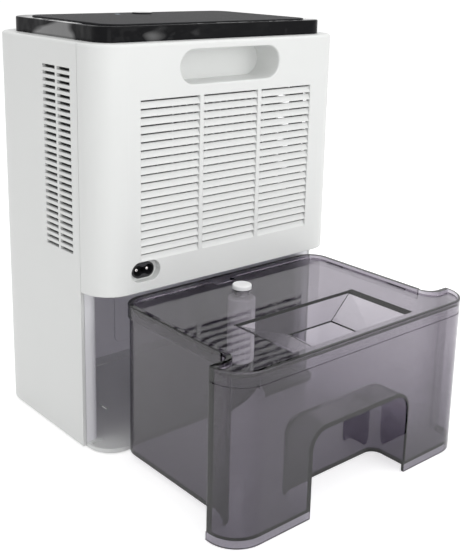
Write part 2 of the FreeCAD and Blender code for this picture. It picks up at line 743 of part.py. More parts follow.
def switch_body():
    half = SWITCH_SIZE / 2
    solid = box(-half, half, BUTTON_Y - half, BUTTON_Y + half, Z_CONTROL + PCB_T, switch_top())
    well_z0 = switch_top() - 1.2 - BUTTON_TRAVEL - 0.2
    well = rod_z(0, BUTTON_Y, well_z0, switch_top(), PLUNGER_R + PLUNGER_CLEAR)
    return solid.cut(well)


def control_board():
    half = CONTROL_D / 2
    x1 = CONTROL_W / 2
    board = box(-x1, x1, BUTTON_Y - half, BUTTON_Y + half, Z_CONTROL, Z_CONTROL + PCB_T)
    for x, y in control_posts():
        board = board.cut(rod_z(x, y, Z_CONTROL, Z_CONTROL + PCB_T, SCREW_R + FIT))
    return board


def control_screws():
    return [screw(vec(x, y, Z_CONTROL - SCREW_HEAD_H), vec(0, 0, 1), 7) for x, y in control_posts()]


def indicator_lamp():
    """Light guide from the control board to the face of the panel."""
    return rod_z(LAMP_X, BUTTON_Y, Z_CONTROL + PCB_T, Z_TOP + LID_H + PANEL_RISE, LAMP_R - 0.02)


def baffle_plate():
    """Upright wall that carries the cooling core and parts the cold side from the warm side."""
    z1 = Z_TOP - BAFFLE_TOP_GAP - HANDLE_H
    solid = box(-BAFFLE_HALF_W, BAFFLE_HALF_W, BAFFLE_Y, BAFFLE_Y + BAFFLE_T, Z_DECK, z1)
    half = GASKET / 2
    solid = solid.cut(box(-half, half, 0, FAR, CORE_Z - half, CORE_Z + half))
    for side in (-1, 1):
        x = side * PASSAGE_X
        half = PASSAGE_W / 2
        window = box(x - half, x + half, 0, FAR, CORE_Z - PASSAGE_H / 2, CORE_Z + PASSAGE_H / 2)
        solid = solid.cut(window)
    for x, z in core_screw_places():
        solid = solid.cut(rod_y(x, z, 0, FAR, SCREW_R))
    return solid


def core_screw_places():
    inset = 5.0
    return [(x, CORE_Z + z) for x, z in corners_of(HOT_W / 2 - inset, HOT_H / 2 - inset)]


def insulation_gasket():
    """Foam frame round the thermoelectric module, filling the baffle's window."""
    half = GASKET / 2
    inner = PELTIER / 2 + FIT
    solid = box(-half, half, BAFFLE_Y, BAFFLE_Y + BAFFLE_T, CORE_Z - half, CORE_Z + half)
    solid = solid.cut(box(-inner, inner, 0, FAR, CORE_Z - inner, CORE_Z + inner))
    for x in (-CLAMP_X, CLAMP_X):
        solid = solid.cut(rod_y(x, CORE_Z, 0, FAR, SCREW_R))
    return solid


def peltier_module():
    half = PELTIER / 2
    return box(-half, half, BAFFLE_Y, BAFFLE_Y + BAFFLE_T, CORE_Z - half, CORE_Z + half)


def hot_heatsink():
    """Warm sink on the fan's side; its fins lie flat, so that the air leaves towards the side slots."""
    y1 = BAFFLE_Y
    y0 = y1 - SINK_BASE_T
    solid = box(-HOT_W / 2, HOT_W / 2, y0, y1, CORE_Z - HOT_H / 2, CORE_Z + HOT_H / 2)
    step = (HOT_H - HOT_FIN_T) / (HOT_FINS - 1)
    fins = []
    for i in range(HOT_FINS):
        z = CORE_Z - HOT_H / 2 + i * step
        fins.append(box(-HOT_W / 2, HOT_W / 2, y0 - HOT_FIN_L, y0, z, z + HOT_FIN_T))
    solid = solid.multiFuse(fins)
    for x, z in fan_holes():
        solid = solid.cut(rod_y(x, z, y0 - HOT_FIN_L, y0 - HOT_FIN_L + 12, FAN_SCREW_R))
    for x, z in core_screw_places():
        solid = solid.cut(rod_y(x, z, y0 - HOT_FIN_L, y0, SCREW_HEAD_R + FIT))
        solid = solid.cut(rod_y(x, z, y0, y1, SCREW_R))
    for x in (-CLAMP_X, CLAMP_X):
        solid = solid.cut(rod_y(x, CORE_Z, y0 - HOT_FIN_L, y0, SCREW_HEAD_R + FIT))
        solid = solid.cut(rod_y(x, CORE_Z, y0, y1, SCREW_R))
    return solid.removeSplitter()


def cold_heatsink():
    """Cold sink behind the louvres; its fins stand upright, so that the water runs down into the tray."""
    y0 = BAFFLE_Y + BAFFLE_T
    y1 = y0 + SINK_BASE_T
    solid = box(-COLD_W / 2, COLD_W / 2, y0, y1, CORE_Z - COLD_H / 2, CORE_Z + COLD_H / 2)
    step = (COLD_W - COLD_FIN_T) / (COLD_FINS - 1)
    fins = []
    for i in range(COLD_FINS):
        x = -COLD_W / 2 + i * step
        fins.append(box(x, x + COLD_FIN_T, y1, y1 + COLD_FIN_L, CORE_Z - COLD_H / 2, CORE_Z + COLD_H / 2))
    solid = solid.multiFuse(fins)
    for x in (-CLAMP_X, CLAMP_X):
        solid = solid.cut(rod_y(x, CORE_Z, y0, y1, SCREW_R))
    return solid.removeSplitter()


def core_screws():
    """Four screws that hold the warm sink to the baffle, and two that clamp the cold sink to it."""
    y = BAFFLE_Y - SINK_BASE_T - SCREW_HEAD_H
    group = [screw(vec(x, y, z), vec(0, 1), SINK_BASE_T + BAFFLE_T) for x, z in core_screw_places()]
    reach = 2 * SINK_BASE_T + BAFFLE_T
    group += [screw(vec(x, y, CORE_Z), vec(0, 1), reach) for x in (-CLAMP_X, CLAMP_X)]
    return group


def fan_y1():
    return BAFFLE_Y - SINK_BASE_T - HOT_FIN_L - FAN_GAP


def fan_holes():
    return [(x, CORE_Z + z) for x, z in corners_of(FAN_HOLE, FAN_HOLE)]


def fan_frame():
    """Square frame with its bore, four struts and the cup that holds the stator and the bearing."""
    y1 = fan_y1()
    y0 = y1 - FAN_T
    half = FAN / 2
    outline = rounded_outline([(half, -half, 4), (half, half, 4), (-half, half, 4), (-half, -half, 4)])
    solid = prism_y(outline, y0, y1).translated(vec(0, 0, CORE_Z))
    solid = solid.cut(rod_y(0, CORE_Z, y0, y1, FAN_BORE_R))
    strut_w = 4.0
    for angle in (45, 135):
        strut = box(-FAN_BORE_R - 2, FAN_BORE_R + 2, y0, y0 + 2.5, -strut_w / 2, strut_w / 2)
        strut.rotate(vec(0, 0), vec(0, 1), angle)
        solid = solid.fuse(strut.translated(vec(0, 0, CORE_Z)))
    solid = solid.fuse(rod_y(0, CORE_Z, y0, y0 + 2.5, FAN_HUB_R))
    solid = solid.fuse(rod_y(0, CORE_Z, y0 + 2.5, y1 - 8, 4.5)).cut(rod_y(0, CORE_Z, y0 + 1, y1 - 8, 3.0))
    for x, z in fan_holes():
        solid = solid.cut(rod_y(x, z, y0, y1, FAN_SCREW_R + 0.1))
    return solid.removeSplitter()


def fan_bearing():
    y1 = fan_y1()
    sleeve = rod_y(0, CORE_Z, y1 - FAN_T + 1, y1 - 8, 3.0)
    return sleeve.cut(rod_y(0, CORE_Z, y1 - FAN_T + 1, y1 - 8, SHAFT_R + SHAFT_CLEAR))


def fan_stator():
    """Wound stator on the frame's tube: four poles round a ring."""
    y0 = fan_y1() - FAN_T + 4.5
    y1 = fan_y1() - 9
    ring = rod_y(0, CORE_Z, y0, y1, 8.0).cut(rod_y(0, CORE_Z, y0, y1, 4.5))
    poles = []
    for i in range(4):
        pole = box(6, STATOR_R - 3, y0, y1, -3, 3).fuse(box(STATOR_R - 4, STATOR_R - 1.5, y0, y1, -6, 6))
        pole.rotate(vec(0, 0), vec(0, 1), 90 * i)
        poles.append(pole.translated(vec(0, 0, CORE_Z)))
    return ring.multiFuse(poles).removeSplitter()


def fan_blade():
    """Twisted blade from the hub to the tip, as sections turned about the radius."""
    sections = []
    y_mid = fan_y1() - FAN_T / 2 + 1
    tip = FAN_BORE_R - FAN_TIP_GAP
    for radius, pitch, chord in ((FAN_HUB_R - 1, 52, 21), ((FAN_HUB_R + tip) / 2, 42, 25), (tip, 34, 27)):
        half = chord / 2
        t = BLADE_T / 2
        turn = math.radians(pitch)
        points = []
        for a, b in ((-half, -t), (half, -t), (half, t), (-half, t), (-half, -t)):
            across = a * math.cos(turn) - b * math.sin(turn)
            along = a * math.sin(turn) + b * math.cos(turn)
            points.append(vec(radius, y_mid + along, across))
        sections.append(Part.makePolygon(points))
    tip_cut = rod_y(0, 0, -FAR, FAR, tip)
    return Part.makeLoft(sections, True, True).common(tip_cut)


def fan_rotor():
    """Cup-shaped hub over the stator, with its blades."""
    y1 = fan_y1() - 1.5
    y0 = fan_y1() - FAN_T + 4.0
    cup = rod_y(0, 0, y0, y1, FAN_HUB_R).cut(rod_y(0, 0, y0, y1 - 2.5, STATOR_R + 1))
    blades = []
    for i in range(FAN_BLADES):
        blade = fan_blade()
        blade.rotate(vec(0, 0), vec(0, 1), 360.0 / FAN_BLADES * i)
        blades.append(blade)
    solid = cup.multiFuse(blades).cut(rod_y(0, 0, y0, y1 - 2.5, STATOR_R + 1))
    solid = solid.cut(rod_y(0, 0, y0, y1 - 1, SHAFT_R))
    return solid.translated(vec(0, 0, CORE_Z))


def fan_shaft():
    y1 = fan_y1()
    return rod_y(0, CORE_Z, y1 - FAN_T + 2, y1 - 2.5, SHAFT_R)


def fan_screws():
    y0 = fan_y1() - FAN_T - 2.2
    length = FAN_T + FAN_GAP + 10
    return [screw(vec(x, y0, z), vec(0, 1), length, FAN_SCREW_R, 3.6, 2.2) for x, z in fan_holes()]


def condensate_tray():
    """Tray under the cold sink, with a spout through the bay's ceiling."""
    y0 = BAFFLE_Y + BAFFLE_T
    y1 = Y_REAR - LOUVRE_DEPTH - 1.5
    z0 = Z_DECK + TRAY_UP
    z1 = z0 + TRAY_H
    w = TRAY_HALF_W
    t = TRAY_T
    solid = box(-w, w, y0, y1, z0, z1)
    hollow = pyramid(w - t, y0 + t, y1 - t, z1, SPOUT_R, SPOUT_Y - SPOUT_R, SPOUT_Y + SPOUT_R, z0 + t)
    spout = rod_z(0, SPOUT_Y, Z_BAY, z0 + t, SPOUT_R)
    solid = solid.cut(hollow).fuse(spout).cut(rod_z(0, SPOUT_Y, 0, z0 + 2 * t, SPOUT_BORE_R))
    for x in (-w + 6, w - 6):
        solid = solid.fuse(box(x - 3, x + 3, y0, y1, Z_DECK, z0))
    return solid.removeSplitter()


def inlet_body():
    """Black insert with the figure-of-eight socket."""
    z = Z_BAY + INLET_UP
    y1 = Y_REAR - INLET_POCKET_DEPTH + 2.0
    y0 = y1 - INLET_BODY_L
    solid = prism_y(stadium(INLET_X, z, INLET_W, INLET_H), y0, y1)
    y_floor = y1 - INLET_CAVITY_DEPTH
    for side in (-1, 1):
        x = INLET_X + side * PIN_PITCH / 2
        solid = solid.cut(rod_y(x, z, y_floor, y1, INLET_CAVITY_R)).cut(rod_y(x, z, y0, y_floor, PIN_R))
    web = box(INLET_X - PIN_PITCH / 2, INLET_X + PIN_PITCH / 2, y_floor, y1, z - 2.4, z + 2.4)
    return solid.cut(web).removeSplitter()


def inlet_pins():
    z = Z_BAY + INLET_UP
    y1 = Y_REAR - INLET_POCKET_DEPTH + 2.0
    y0 = y1 - INLET_BODY_L - TAG_L
    y_tip = y1 - INLET_CAVITY_DEPTH + PIN_L
    group = []
    for side in (-1, 1):
        pin = rod_y(INLET_X + side * PIN_PITCH / 2, z, y0, y_tip, PIN_R)
        group.append(round_edges(pin, 0.5, lambda e: e.BoundBox.YMin > y_tip - 1e-3))
    return group


def board_z():
    return Z_DECK + BOARD_UP


def power_board():
    z0 = board_z()
    board = box(-BOARD_W / 2, BOARD_W / 2, BOARD_Y, BOARD_Y + PCB_T, z0, z0 + BOARD_H)
    for x, z in board_holes():
        board = board.cut(rod_y(x, z, 0 - FAR, FAR, SCREW_R))
    return board


def board_screws():
    y = BOARD_Y + PCB_T + SCREW_HEAD_H
    return [screw(vec(x, y, z), vec(0, -1), 8) for x, z in board_holes()]


def transformer():
    """Ferrite core of two halves round a wound bobbin."""
    y0 = BOARD_Y + PCB_T
    x, z = -14.0, board_z() + 34
    core = box(x - 12, x + 12, y0 + 2, y0 + 18, z - 11, z + 11)
    window = box(x - 7.5, x + 7.5, y0, y0 + 20, z - 8, z + 8)
    leg = box(x - 3, x + 3, y0 + 2, y0 + 18, z - 11, z + 11)
    return core.cut(window).fuse(leg).removeSplitter()


def transformer_coil():
    """Winding in the core's two windows, standing 1 mm proud at either end."""
    y0 = BOARD_Y + PCB_T
    x, z = -14.0, board_z() + 34
    corners = [(x + 7.2, z - 7.8), (x + 7.2, z + 7.8), (x - 7.2, z + 7.8), (x - 7.2, z - 7.8)]
    coil = prism_y(rounded_outline([(a, b, 1) for a, b in corners]), y0, y0 + 21)
    return coil.cut(box(x - 3, x + 3, y0, y0 + 22, z - 11, z + 11))


def coil_halves():
    """The winding on either side of the middle leg."""
    return transformer_coil().Solids


def capacitors():
    """Smoothing capacitors, standing on the board."""
    y0 = BOARD_Y + PCB_T
    group = []
    for x, z, radius, length in ((18, 44, 8, 26), (34, 40, 5, 18), (16, 22, 5, 16)):
        can = rod_y(x, board_z() + z, y0, y0 + length, radius)
        group.append(round_edges(can, 0.8, lambda e: e.BoundBox.YMin > y0 + length - 1e-3))
    return group


def connectors():
    """Plug housings for the inlet, the fan, the module and the control board."""
    y0 = BOARD_Y + PCB_T
    group = []
    for x, width in ((-34, 12), (-6, 9), (6, 9), (32, 12)):
        x0, x1, z0 = x - width / 2, x + width / 2, board_z() + 3
        housing = box(x0, x1, y0, y0 + 9, z0, z0 + 7)
        group.append(housing.cut(box(x0 + 1, x1 - 1, y0 + 3, y0 + 10, z0 + 1, z0 + 6)))
    return group


def write(node, shape):
    solids = shape if isinstance(shape, (list, tuple)) else [shape]
    flat = [s for item in solids for s in item.Solids]
    whole = flat[0] if len(flat) == 1 else Part.makeCompound(flat)
    whole.exportStep(os.path.join("parts", node + ".step"))
    print(node, len(flat), round(sum(s.Volume for s in flat)), all(s.isValid() for s in flat))


os.makedirs("parts", exist_ok=True)
reed_holder, reed_capsule = reed_switch()
NODES = {
    "front_shell": front_shell, "rear_shell": rear_shell, "base_plate": base_plate, "feet": feet,
    "base_screws": base_screws, "bay_liner": bay_liner, "water_tank": water_tank, "tank_lid": tank_lid,
    "float_body": float_body, "float_cap": float_cap, "float_magnet": float_magnet, "top_lid": top_lid,
    "top_panel": top_panel,
    "power_button": power_button, "switch_plunger": switch_plunger, "switch_body": switch_body,
    "control_board": control_board, "control_screws": control_screws, "indicator_lamp": indicator_lamp,
    "baffle_plate": baffle_plate, "insulation_gasket": insulation_gasket, "peltier_module": peltier_module,
    "hot_heatsink": hot_heatsink, "cold_heatsink": cold_heatsink, "core_screws": core_screws,
    "fan_frame": fan_frame, "fan_bearing": fan_bearing, "fan_stator": fan_stator, "fan_rotor": fan_rotor,
    "fan_shaft": fan_shaft, "fan_screws": fan_screws, "condensate_tray": condensate_tray,
    "inlet_body": inlet_body, "inlet_pins": inlet_pins, "power_board": power_board,
    "board_screws": board_screws, "transformer_core": transformer, "transformer_coil": coil_halves,
    "capacitors": capacitors, "connectors": connectors,
}
write("reed_holder", reed_holder)
write("reed_capsule", reed_capsule)
for node_name, build in NODES.items():
    write(node_name, build())
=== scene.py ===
# %% [markdown]
# # A small dehumidifier, with its water tank drawn out
#
# The machine stands in a pale studio. Its solid pieces come from the construction model, at their
# real size and place, and this lesson gives them their finishes, the light and the camera. Metres throughout.

# %% Load the solid pieces
import math
import bpy
import numpy as np
from mathutils import Matrix, Vector
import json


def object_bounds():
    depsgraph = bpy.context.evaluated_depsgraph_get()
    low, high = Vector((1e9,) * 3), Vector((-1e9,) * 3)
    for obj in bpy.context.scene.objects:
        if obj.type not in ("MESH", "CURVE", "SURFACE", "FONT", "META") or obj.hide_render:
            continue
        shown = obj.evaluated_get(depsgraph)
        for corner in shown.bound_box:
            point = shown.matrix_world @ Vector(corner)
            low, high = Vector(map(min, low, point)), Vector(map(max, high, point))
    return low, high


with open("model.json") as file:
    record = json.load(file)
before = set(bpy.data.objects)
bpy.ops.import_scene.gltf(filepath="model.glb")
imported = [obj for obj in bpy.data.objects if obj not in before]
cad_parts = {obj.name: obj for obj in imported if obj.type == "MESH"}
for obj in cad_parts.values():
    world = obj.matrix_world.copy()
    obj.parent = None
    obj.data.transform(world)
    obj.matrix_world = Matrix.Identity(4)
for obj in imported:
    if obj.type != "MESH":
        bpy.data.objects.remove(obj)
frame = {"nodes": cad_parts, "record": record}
NODES = frame["nodes"]
SOLID_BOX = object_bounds()
print(len(NODES), "solid pieces in", [round(v, 4) for corner in SOLID_BOX for v in corner])

# %% [markdown]
# ## The camera
#
# A product picture of a machine this small is taken from about three quarters of a metre, a little above
# its middle, so that the side, the rear and the top of the tank all show. A camera can be placed by
# typing its rotation, but a point to look at is easier to change later. A small roll is added, because
# the real camera was tipped by about a degree, and the lens is shifted down, because the machine stands low in the frame.

# %% Place the camera
CAMERA_PLACE = Vector((0.4173, 0.5615, 0.3341))
CAMERA_AIM = Vector((-0.0515, 0.0194, 0.1500))
CAMERA_ROLL = math.radians(1.34)
CAMERA_LENS_MM = 60.5
CAMERA_SHIFT_Y = -0.1416


def add_camera():
    """A camera at CAMERA_PLACE that looks at CAMERA_AIM, turned by CAMERA_ROLL about its own line of sight."""
    data = bpy.data.cameras.new("studio_camera")
    data.lens = CAMERA_LENS_MM
    data.shift_y = CAMERA_SHIFT_Y
    data.clip_start, data.clip_end = 0.01, 100.0
    camera = bpy.data.objects.new("studio_camera", data)
    bpy.context.scene.collection.objects.link(camera)
    turned = (CAMERA_AIM - CAMERA_PLACE).to_track_quat("-Z", "Y").to_matrix() @ Matrix.Rotation(CAMERA_ROLL, 3, "Z")
    camera.matrix_world = Matrix.Translation(CAMERA_PLACE) @ turned.to_4x4()
    bpy.context.scene.camera = camera
    return camera


camera = add_camera()
print("camera to its aim:", round((CAMERA_AIM - CAMERA_PLACE).length, 3), "m")

# %% [markdown]
# ## The floor and the background
#
# The picture is a plain white one, and its white does not come from more light on the machine. Light Path
# tells a material what kind of ray is asking. The world answers the camera, mirrors and clear plastic with
# white, and lights the scene more dimly. The floor adds a little white of its own for those rays only, so
# that it reads as paper and still keeps the machine's shadow.

# %% Floor and world
FLOOR_HALF = 12.0
FLOOR_DROP = 0.0002
FLOOR_COLOUR = (0.80, 0.80, 0.80, 1.0)
FLOOR_GLOW = 0.62
WORLD_LIGHT = 0.54


def seen_directly(tree):
    """Value socket that is 1 for rays of the camera, of mirrors and through clear plastic, and 0 for the rest."""
    path = tree.nodes.new("ShaderNodeLightPath")
    total = path.outputs["Is Camera Ray"]
    for kind in ("Is Glossy Ray", "Is Transmission Ray"):
        larger = tree.nodes.new("ShaderNodeMath")
        larger.operation = "MAXIMUM"
        tree.links.new(total, larger.inputs[0])
        tree.links.new(path.outputs[kind], larger.inputs[1])
        total = larger.outputs[0]
    return total


def add_floor():
    """A flat square sheet just under the feet."""
    mesh = bpy.data.meshes.new("studio_floor")
    corners = np.array([(-1, -1, 0), (1, -1, 0), (1, 1, 0), (-1, 1, 0)], float) * FLOOR_HALF
    corners[:, 2] = -FLOOR_DROP
    mesh.from_pydata(corners.tolist(), [], [(0, 1, 2, 3)])
    floor = bpy.data.objects.new("studio_floor", mesh)
    bpy.context.scene.collection.objects.link(floor)
    material = bpy.data.materials.new("pale_floor")
    material.use_nodes = True
    tree = material.node_tree
    tree.nodes.clear()
    out = tree.nodes.new("ShaderNodeOutputMaterial")
    paper = tree.nodes.new("ShaderNodeBsdfDiffuse")
    paper.inputs["Color"].default_value = FLOOR_COLOUR
    glow = tree.nodes.new("ShaderNodeEmission")
    strength = tree.nodes.new("ShaderNodeMath")
    strength.operation = "MULTIPLY"
    strength.inputs[1].default_value = FLOOR_GLOW
    tree.links.new(seen_directly(tree), strength.inputs[0])
    tree.links.new(strength.outputs[0], glow.inputs["Strength"])
    both = tree.nodes.new("ShaderNodeAddShader")
    tree.links.new(paper.outputs[0], both.inputs[0])
    tree.links.new(glow.outputs[0], both.inputs[1])
    tree.links.new(both.outputs[0], out.inputs["Surface"])
    mesh.materials.append(material)
    return floor


def set_world():
    """White for what is looked at directly, and dimmer as a light."""
    world = bpy.data.worlds.new("studio_world")
    bpy.context.scene.world = world
    world.use_nodes = True
    tree = world.node_tree
    sky = tree.nodes["Background"]
    sky.inputs["Color"].default_value = (1.0, 1.0, 1.0, 1.0)
    span = tree.nodes.new("ShaderNodeMapRange")
    span.inputs["To Min"].default_value = WORLD_LIGHT
    span.inputs["To Max"].default_value = 1.0
    tree.links.new(seen_directly(tree), span.inputs["Value"])
    tree.links.new(span.outputs[0], sky.inputs["Strength"])


add_floor()
set_world()
bpy.context.scene.view_settings.view_transform = "Standard"
print("floor half width", FLOOR_HALF, "m, world light", WORLD_LIGHT)

# %% [markdown]
# ## The lamps
#
# Large soft boxes give the even light of a product picture. The rear of the casing is the brightest face,
# so the main box stands behind the machine, a second one above, and a weak one on the side that the slots
# are on. A low one shines into the bay and the tank, and draws the bright line on the lid's near corner.
# Each box is aimed at the middle of the casing. Only two of them show in polished faces, because the rest
# would turn the black lid grey.

# %% Soft boxes
LAMPS = {
    "rear_box": ((-0.5, 1.9, 0.9), 1.6, 15.5),
    "low_box": ((0.75, 1.75, 0.35), 0.8, 3.6),
    "top_box": ((-0.1, 0.25, 2.0), 1.6, 10.5),
    "side_box": ((1.9, 0.1, 0.8), 1.2, 5.0),
    "front_box": ((-1.2, -1.5, 1.1), 1.4, 6.0),
}


LAMPS_IN_MIRRORS = ("rear_box", "low_box")


def add_lamp(name, place, size, watts):
    """A square area lamp at place, size across, aimed at the middle of the machine."""
    data = bpy.data.lights.new(name, "AREA")
    data.size = size
    data.energy = watts
    lamp = bpy.data.objects.new(name, data)
    bpy.context.scene.collection.objects.link(lamp)
    middle = (SOLID_BOX[0] + SOLID_BOX[1]) / 2
    lamp.rotation_euler = (middle - Vector(place)).to_track_quat("-Z", "Y").to_euler()
    lamp.location = place
    lamp.visible_glossy = name in LAMPS_IN_MIRRORS
    return lamp


for lamp_name, (place, size, watts) in LAMPS.items():
    add_lamp(lamp_name, place, size, watts)
print(len(LAMPS), "lamps,", sum(row[2] for row in LAMPS.values()), "W")

# %% [markdown]
# ## Effects that several finishes share
#
# Moulded plastic is never one flat colour: it has a slow change of tone, a fine spark-eroded grain, and
# edges that the mould leaves slightly round. Each effect is a node group with named inputs, built once
# and placed in many materials with other values. A group hands back only colours, values and normals,
# and the shader itself stays in the material.

# %% A helper for node groups
def new_group(name, inputs, outputs):
    """An empty shader group. inputs and outputs are (name, kind, starting value) rows."""
    group = bpy.data.node_groups.new(name, "ShaderNodeTree")
    for side, rows in (("INPUT", inputs), ("OUTPUT", outputs)):
        for label, kind, value in rows:
            socket = group.interface.new_socket(name=label, in_out=side, socket_type="NodeSocket" + kind)
            if value is not None:
                socket.default_value = value
    return group, group.nodes.new("NodeGroupInput"), group.nodes.new("NodeGroupOutput")


def math_node(tree, operation, first, second, clamp=False):
    """A Math node. Each of first and second is a socket or a number."""
    node = tree.nodes.new("ShaderNodeMath")
    node.operation = operation
    node.use_clamp = clamp
    for socket, value in zip(node.inputs, (first, second)):
        if isinstance(value, bpy.types.NodeSocket):
            tree.links.new(value, socket)
        else:
            socket.default_value = value
    return node.outputs[0]


def noise_node(tree, vector, scale, detail=2.0):
    """A noise texture whose vector and scale are sockets."""
    node = tree.nodes.new("ShaderNodeTexNoise")
    node.inputs["Detail"].default_value = detail
    tree.links.new(vector, node.inputs["Vector"])
    if isinstance(scale, bpy.types.NodeSocket):
        tree.links.new(scale, node.inputs["Scale"])
    else:
        node.inputs["Scale"].default_value = scale
    return node.outputs["Fac"]


print("helpers ready")

# %% [markdown]
# ### Slow change of tone
#
# Plastic cools unevenly in the mould, so a large face is a little lighter in some places. A slow noise
# brightens and darkens the colour around its own value. A painted image could do it too, but a noise in
# Object coordinates needs no unwrapping and fits every piece.

# %% Group: tone_drift
def build_tone_drift():
    """Colour times (1 + Amount x (noise - 0.5) x 2), with the noise at Scale per metre."""
    rows = [("Vector", "Vector", None), ("Colour", "Color", (0.8, 0.8, 0.8, 1.0)),
            ("Scale", "Float", 12.0), ("Amount", "Float", 0.03)]
    group, given, out = new_group("tone_drift", rows, [("Colour", "Color", None)])
    noise = noise_node(group, given.outputs["Vector"], given.outputs["Scale"])
    centred = math_node(group, "MULTIPLY_ADD", noise, 2.0)
    centred.node.inputs[2].default_value = -1.0
    swing = math_node(group, "MULTIPLY", centred, given.outputs["Amount"])
    level = math_node(group, "ADD", swing, 1.0)
    tint = group.nodes.new("ShaderNodeVectorMath")
    tint.operation = "SCALE"
    group.links.new(given.outputs["Colour"], tint.inputs[0])
    group.links.new(level, tint.inputs["Scale"])
    group.links.new(tint.outputs["Vector"], out.inputs["Colour"])
    return group


TONE_DRIFT = build_tone_drift()
print("built", TONE_DRIFT.name)

# %% [markdown]
# ### Mould grain
#
# The inside of the mould is etched to a fine matt texture, a few tenths of a millimetre across, and the
# plastic copies it. It is too fine to model, so a noise drives both the height of a Bump node and a small
# change of roughness, from one pattern, as on the real surface.

# %% Group: mould_grain
def build_mould_grain():
    """Height is a noise at Scale per metre. Roughness runs from Low to High with the same noise."""
    rows = [("Vector", "Vector", None), ("Scale", "Float", 2500.0), ("Low", "Float", 0.4), ("High", "Float", 0.5)]
    group, given, out = new_group("mould_grain", rows, [("Height", "Float", None), ("Roughness", "Float", None)])
    noise = noise_node(group, given.outputs["Vector"], given.outputs["Scale"], 3.0)
    spread = group.nodes.new("ShaderNodeMapRange")
    spread.inputs["From Min"].default_value = 0.3
    spread.inputs["From Max"].default_value = 0.7
    group.links.new(noise, spread.inputs["Value"])
    group.links.new(given.outputs["Low"], spread.inputs["To Min"])
    group.links.new(given.outputs["High"], spread.inputs["To Max"])
    group.links.new(noise, out.inputs["Height"])
    group.links.new(spread.outputs[0], out.inputs["Roughness"])
    return group


MOULD_GRAIN = build_mould_grain()
print("built", MOULD_GRAIN.name)

# %% [markdown]
# ### Rounded edges
#
# No moulded or cut edge is a mathematical corner: each catches a thin line of light. Adding a modelled
# fillet to hundreds of slots would be heavy, so the Bevel node bends the normal near an edge instead. The
# same group compares the bent normal with the true one, which gives a mask of the edges, where the
# finishes paint a thin highlight in a lighter colour.

# %% Group: soft_edges
def build_soft_edges():
    """Normal rounded over a radius, and Edge, which grows as that normal leaves the true one."""
    rows = [("Radius", "Float", 0.0005), ("Gain", "Float", 4.0)]
    group, given, out = new_group("soft_edges", rows, [("Normal", "Vector", None), ("Edge", "Float", None)])
    bevel = group.nodes.new("ShaderNodeBevel")
    bevel.samples = 4
    group.links.new(given.outputs["Radius"], bevel.inputs["Radius"])
    true = group.nodes.new("ShaderNodeNewGeometry")
    likeness = group.nodes.new("ShaderNodeVectorMath")
    likeness.operation = "DOT_PRODUCT"
    group.links.new(bevel.outputs["Normal"], likeness.inputs[0])
    group.links.new(true.outputs["True Normal"], likeness.inputs[1])
    apart = math_node(group, "SUBTRACT", 1.0, likeness.outputs["Value"])
    edge = math_node(group, "MULTIPLY", apart, given.outputs["Gain"], clamp=True)
    group.links.new(bevel.outputs["Normal"], out.inputs["Normal"])
    group.links.new(edge, out.inputs["Edge"])
    return group


SOFT_EDGES = build_soft_edges()
print("built", SOFT_EDGES.name)

# %% [markdown]
# ### Drawn metal
#
# Extruded and drawn metal has fine lines along the way it was pulled. The pattern's coordinates are
# squeezed along one axis, so the noise becomes streaks. Scales are per metre, one for each axis.

# %% Group: drawn_lines
def build_drawn_lines():
    """A noise of coordinates times Stretch. Streak is its value, and Roughness runs from Low to High with it."""
    rows = [("Vector", "Vector", None), ("Stretch", "Vector", (3000.0, 60.0, 3000.0)),
            ("Low", "Float", 0.25), ("High", "Float", 0.45)]
    group, given, out = new_group("drawn_lines", rows, [("Streak", "Float", None), ("Roughness", "Float", None)])
    squeezed = group.nodes.new("ShaderNodeVectorMath")
    squeezed.operation = "MULTIPLY"
    group.links.new(given.outputs["Vector"], squeezed.inputs[0])
    group.links.new(given.outputs["Stretch"], squeezed.inputs[1])
    noise = noise_node(group, squeezed.outputs["Vector"], 1.0)
    spread = group.nodes.new("ShaderNodeMapRange")
    group.links.new(noise, spread.inputs["Value"])
    group.links.new(given.outputs["Low"], spread.inputs["To Min"])
    group.links.new(given.outputs["High"], spread.inputs["To Max"])
    group.links.new(noise, out.inputs["Streak"])
    group.links.new(spread.outputs[0], out.inputs["Roughness"])
    return group


DRAWN_LINES = build_drawn_lines()
print("built", DRAWN_LINES.name)

# %% [markdown]
# ## The finishes
#
# A maker chooses one finish for several pieces. Each is a material whose shader takes its colour, its
# roughness and its normal from the groups above. One helper places a group and sets its values, and
# another starts a material with its shader and its coordinates.

# %% Helpers for materials
def start_material(name):
    """A material with a Principled shader, and the Object coordinates that its patterns read."""
    material = bpy.data.materials.new(name)
    material.use_nodes = True
    tree = material.node_tree
    place = tree.nodes.new("ShaderNodeTexCoord").outputs["Object"]
    return material, tree, tree.nodes["Principled BSDF"], place


def place_group(tree, group, **values):
    """A copy of a group in a material. A value is a number, a tuple or a socket, and _ in its name is a space."""
    node = tree.nodes.new("ShaderNodeGroup")
    node.node_tree = group
    for label, value in values.items():
        socket = node.inputs[label.replace("_", " ")]
        if isinstance(value, bpy.types.NodeSocket):
            tree.links.new(value, socket)
        else:
            socket.default_value = value
    return node


def set_bump(tree, shader, height, depth, normal=None):
    """A Bump node of that depth in metres between a height and the shader, over an optional normal."""
    bump = tree.nodes.new("ShaderNodeBump")
    bump.inputs["Strength"].default_value = 1.0
    bump.inputs["Distance"].default_value = depth
    tree.links.new(height, bump.inputs["Height"])
    if normal is not None:
        tree.links.new(normal, bump.inputs["Normal"])
    tree.links.new(bump.outputs["Normal"], shader.inputs["Normal"])


